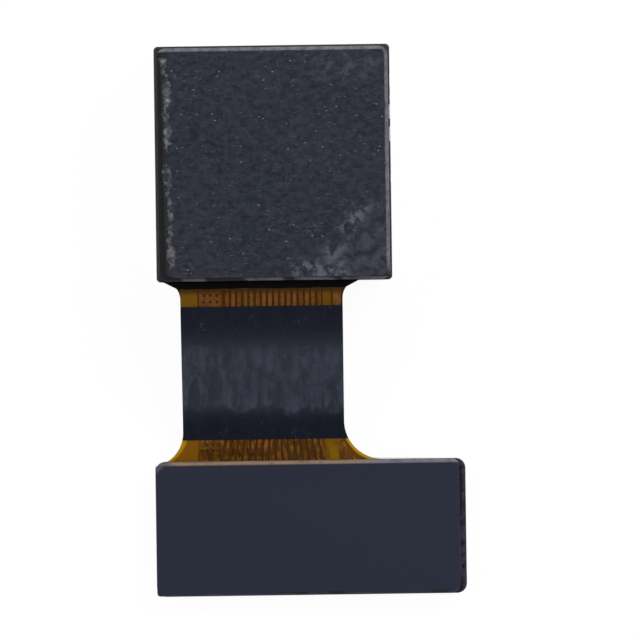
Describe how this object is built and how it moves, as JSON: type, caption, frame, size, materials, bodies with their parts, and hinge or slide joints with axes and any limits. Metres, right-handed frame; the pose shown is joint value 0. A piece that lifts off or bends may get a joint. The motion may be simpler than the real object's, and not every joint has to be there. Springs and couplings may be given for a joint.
{
  "type": "phone camera module",
  "caption": "Square autofocus camera module with a steel-backed rear, a shielded flexible ribbon that bends down, and a stiffened board-to-board plug.",
  "frame": {"origin": "on the optical axis, in the plane of the motor can's front face, which the module lies on", "axes": "+Z from the lens side to the module's rear, -Z the way the lens looks; -Y the way the ribbon leaves; +X to the right seen from the rear"},
  "size_m": [0.0112, 0.02, 0.005],
  "materials": {
    "can_steel": "nickel-plated drawn steel, satin",
    "black_moulding": "black moulded liquid-crystal polymer",
    "spring_copper": "thin rolled copper alloy",
    "magnet_nickel": "nickel-plated sintered magnet",
    "coil_copper": "enamelled copper winding",
    "gold_plate": "gold-plated copper alloy",
    "solder": "dull solder",
    "lens_black": "matt black moulded plastic",
    "lens_glass": "coated clear optical plastic",
    "glue": "cured epoxy",
    "holder_moulding": "dark moulded plastic",
    "filter_glass": "coated blue-green filter glass",
    "silicon": "silicon die with a microlens array",
    "chip_ceramic": "tan ceramic capacitor",
    "board_mask": "black solder mask, semi-gloss",
    "polyimide": "amber polyimide film",
    "copper": "rolled copper under amber film",
    "amber_coverlay": "clear amber coverlay film",
    "shield_film": "black shielding film, semi-gloss, with faint streaks over the traces",
    "plate_steel": "blackened steel with a lighter worn edge",
    "black_film": "black matt film with fine speckle, glue residue and scuffs",
    "stiffener_black": "smooth black-blue stiffener with a grey cut edge",
    "plug_moulding": "black moulded liquid-crystal polymer",
    "tab_steel": "tin-plated copper alloy"
  },
  "bodies": {
    "module": {"motor_can": "can_steel", "front_spacer": "black_moulding", "front_spring": "spring_copper", "magnets": "magnet_nickel", "rear_spring": "spring_copper", "motor_base": "black_moulding", "motor_terminals": "gold_plate", "terminal_solder": "solder", "motor_glue": "glue", "filter_holder": "holder_moulding", "ir_filter": "filter_glass", "holder_glue": "glue", "image_sensor": "silicon", "sensor_glue": "glue", "bond_wires": "gold_plate", "capacitors": "chip_ceramic", "driver_chip": "black_moulding", "board_front_layer": "board_mask", "flex_core": "polyimide", "board_rear_layer": "board_mask", "copper_traces": "copper", "rear_coverlay": "amber_coverlay", "front_coverlay": "amber_coverlay", "rear_shield_film": "shield_film", "front_shield_film": "shield_film", "strain_bead": "glue", "plate_glue": "glue", "rear_plate": "plate_steel", "rear_film": "black_film", "stiffener_glue": "glue", "connector_stiffener": "stiffener_black", "solder_lands": "gold_plate", "plug_housing": "plug_moulding", "plug_contacts": "gold_plate", "plug_tabs": "tab_steel"},
    "lens": {"lens_barrel": "lens_black", "lens_1": "lens_glass", "lens_2": "lens_glass", "lens_3": "lens_glass", "lens_4": "lens_glass", "lens_5": "lens_glass", "lens_baffles": "lens_black", "retaining_ring": "lens_black", "lens_carrier": "black_moulding", "coil": "coil_copper"}
  },
  "joints": [
    {"name": "focus_travel", "type": "slide", "parent": "module", "child": "lens", "axis": [0, 0, -1], "range_m": [0, 0.00025], "stiffness_N_per_m": 40, "springref_m": -0.00015, "deforming": ["front_spring", "rear_spring"]}
  ]
}
